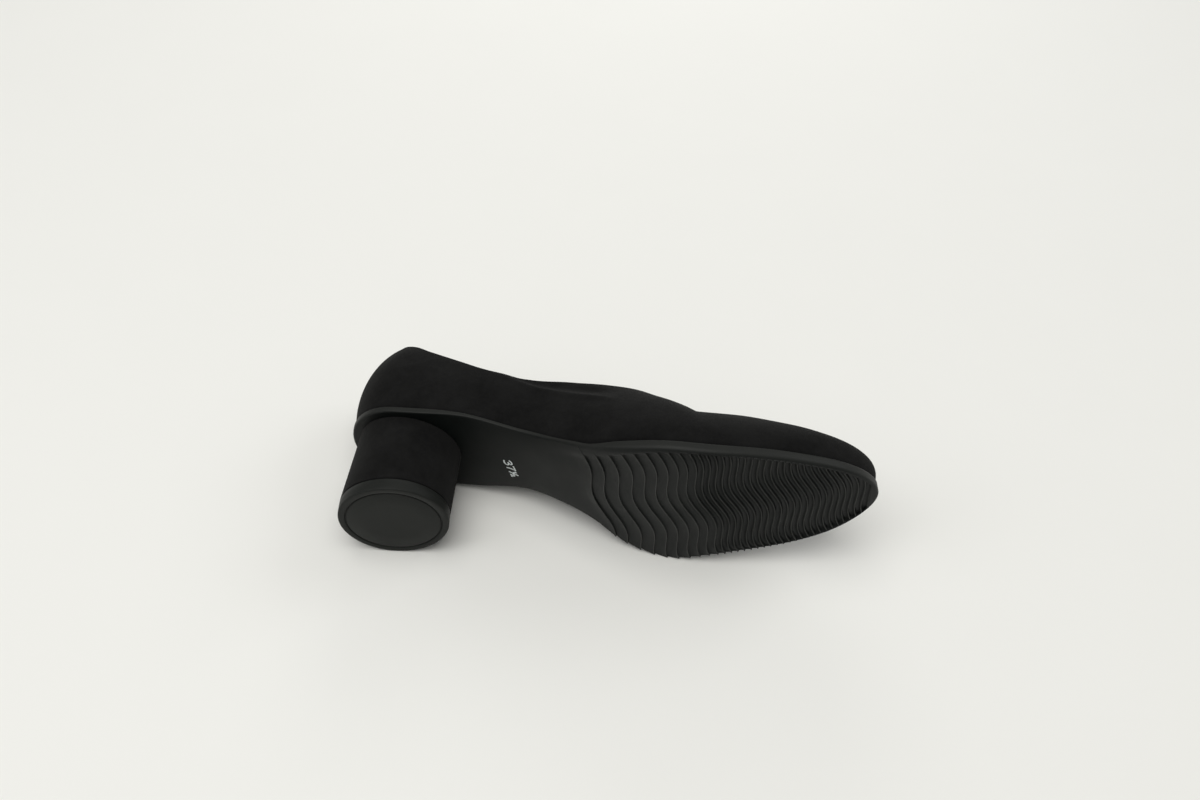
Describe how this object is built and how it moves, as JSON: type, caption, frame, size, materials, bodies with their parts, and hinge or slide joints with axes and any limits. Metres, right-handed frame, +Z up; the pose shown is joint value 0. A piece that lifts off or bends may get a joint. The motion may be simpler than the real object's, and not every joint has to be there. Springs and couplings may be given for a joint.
{
  "type": "pump",
  "caption": "Round-toe suede pump with a round block heel and a waved rubber tread, lying on its inner side",
  "frame": {"origin": "middle of the bounding box in X and Y, on the floor that the shoe lies on", "axes": "+X runs from the heel to the toe along the floor, +Y from the heel's ground face to the top line, and +Z up, from the inner side that lies on the floor to the outer side"},
  "size_m": [0.2458, 0.1, 0.0872],
  "materials": {
    "outsole_rubber": "moulded rubber, satin at the waist and edge, dull on the tread",
    "suede": "black suede with a short nap, matt and slightly mottled",
    "top_piece_rubber": "dull moulded rubber with a fine ring groove",
    "insole_leather": "smooth dyed leather"
  },
  "bodies": {
    "root": {"outsole": "outsole_rubber", "heel": "suede", "top_piece": "top_piece_rubber", "upper": "suede", "insole": "insole_leather"}
  },
  "joints": []
}
